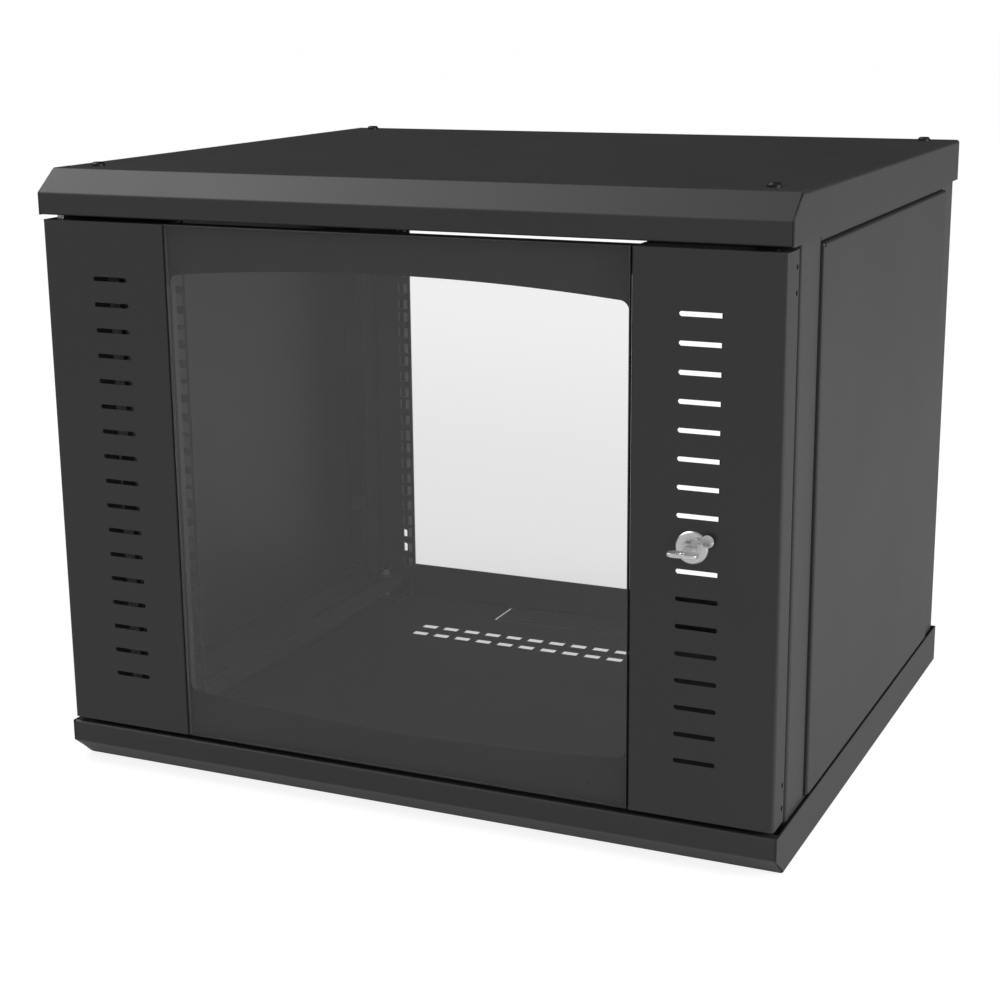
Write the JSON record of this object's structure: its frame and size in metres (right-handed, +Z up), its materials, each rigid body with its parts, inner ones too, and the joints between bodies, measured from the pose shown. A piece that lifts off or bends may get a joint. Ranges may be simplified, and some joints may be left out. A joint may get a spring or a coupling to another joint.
{
  "type": "wall mount network cabinet",
  "caption": "Black steel wall cabinet for 19-inch equipment, with bevelled roof and base, slotted door stiles, an arched clear glass window, key lock, lift-off sides and an open back.",
  "frame": {"origin": "middle of the base sheet's underside, half way along the depth", "axes": "+X towards the lock side of the door, +Y from the door to the wall, +Z up"},
  "size_m": [0.6, 0.5461, 0.4872],
  "materials": {
    "powder_coat": "black satin powder coat, fine grain",
    "black_oxide": "black oxide steel",
    "zinc_steel": "zinc plated",
    "spring_steel": "blued spring steel",
    "clear_glass": "clear toughened glass",
    "black_enamel": "fired black print behind the glass",
    "foam_tape": "black foam tape",
    "bright_chrome": "bright plated",
    "nickel_key": "nickel plated, lightly worn"
  },
  "bodies": {
    "cabinet": {"roof_panel": "powder_coat", "base_panel": "powder_coat", "left_front_pillar": "powder_coat", "left_rear_pillar": "powder_coat", "left_top_member": "powder_coat", "left_bottom_member": "powder_coat", "right_front_pillar": "powder_coat", "right_rear_pillar": "powder_coat", "right_top_member": "powder_coat", "right_bottom_member": "powder_coat", "frame_bolts_top": "black_oxide", "frame_bolts_bottom": "black_oxide", "frame_weld_nuts": "zinc_steel", "top_hinge_plate": "powder_coat", "bottom_hinge_plate": "powder_coat", "hinge_plate_screws": "zinc_steel"},
    "left_panel": {"left_side_panel": "powder_coat", "left_panel_catches": "spring_steel"},
    "right_panel": {"right_side_panel": "powder_coat", "right_panel_catches": "spring_steel"},
    "door": {"door_left_stile": "powder_coat", "door_right_stile": "powder_coat", "door_top_crossbar": "powder_coat", "door_bottom_crossbar": "powder_coat", "door_glass": "clear_glass", "glass_top_print": "black_enamel", "glass_bottom_print": "black_enamel", "glass_top_tape": "foam_tape", "glass_bottom_tape": "foam_tape", "top_pin_bracket": "powder_coat", "bottom_pin_bracket": "powder_coat", "pin_bracket_rivets": "zinc_steel", "bottom_hinge_pin": "zinc_steel", "lock_body": "bright_chrome", "lock_nut": "zinc_steel", "keyhole_cover_rivet": "bright_chrome"},
    "hinge_pin": {"top_hinge_pin": "zinc_steel", "top_pin_spring": "zinc_steel"},
    "lock_turning": {"lock_plug": "bright_chrome", "lock_cam": "zinc_steel", "cam_screw": "zinc_steel"},
    "key": {"door_key": "nickel_key"},
    "cover": {"keyhole_cover": "bright_chrome"},
    "front_left_rail": {"front_left_rail": "powder_coat", "front_left_rail_bolts": "zinc_steel", "front_left_rail_nuts": "zinc_steel"},
    "front_right_rail": {"front_right_rail": "powder_coat", "front_right_rail_bolts": "zinc_steel", "front_right_rail_nuts": "zinc_steel"},
    "rear_left_rail": {"rear_left_rail": "powder_coat", "rear_left_rail_bolts": "zinc_steel", "rear_left_rail_nuts": "zinc_steel"},
    "rear_right_rail": {"rear_right_rail": "powder_coat", "rear_right_rail_bolts": "zinc_steel", "rear_right_rail_nuts": "zinc_steel"}
  },
  "joints": [
    {"name": "door_hinge", "type": "hinge", "parent": "cabinet", "child": "door", "pos_m": [-0.288, -0.248, 0.242], "axis": [0, 0, -1], "range_deg": [0, 170]},
    {"name": "hinge_pin_slide", "type": "slide", "parent": "door", "child": "hinge_pin", "axis": [0, 0, -1], "range_m": [0, 0.009], "stiffness_N_per_m": 350, "springref_m": -0.004, "deforming": ["top_pin_spring"]},
    {"name": "lock_turn", "type": "hinge", "parent": "door", "child": "lock_turning", "pos_m": [0.234, -0.26, 0.24075], "axis": [0, -1, 0], "range_deg": [0, 180]},
    {"name": "key_slide", "type": "slide", "parent": "lock_turning", "child": "key", "axis": [0, -1, 0], "range_m": [0, 0.03]},
    {"name": "cover_swing", "type": "hinge", "parent": "door", "child": "cover", "pos_m": [0.2387, -0.2632, 0.24635], "axis": [0, 1, 0], "range_deg": [-60, 45]},
    {"name": "left_panel_lift", "type": "slide", "parent": "cabinet", "child": "left_panel", "axis": [-1, 0, 0], "range_m": [0, 0.12]},
    {"name": "right_panel_lift", "type": "slide", "parent": "cabinet", "child": "right_panel", "axis": [1, 0, 0], "range_m": [0, 0.12]},
    {"name": "front_left_rail_slide", "type": "slide", "parent": "cabinet", "child": "front_left_rail", "axis": [0, 1, 0], "range_m": [-0.01, 0.06]},
    {"name": "front_right_rail_slide", "type": "slide", "parent": "cabinet", "child": "front_right_rail", "axis": [0, 1, 0], "range_m": [-0.01, 0.06]},
    {"name": "rear_left_rail_slide", "type": "slide", "parent": "cabinet", "child": "rear_left_rail", "axis": [0, 1, 0], "range_m": [-0.15, 0.005]},
    {"name": "rear_right_rail_slide", "type": "slide", "parent": "cabinet", "child": "rear_right_rail", "axis": [0, 1, 0], "range_m": [-0.15, 0.005]}
  ]
}
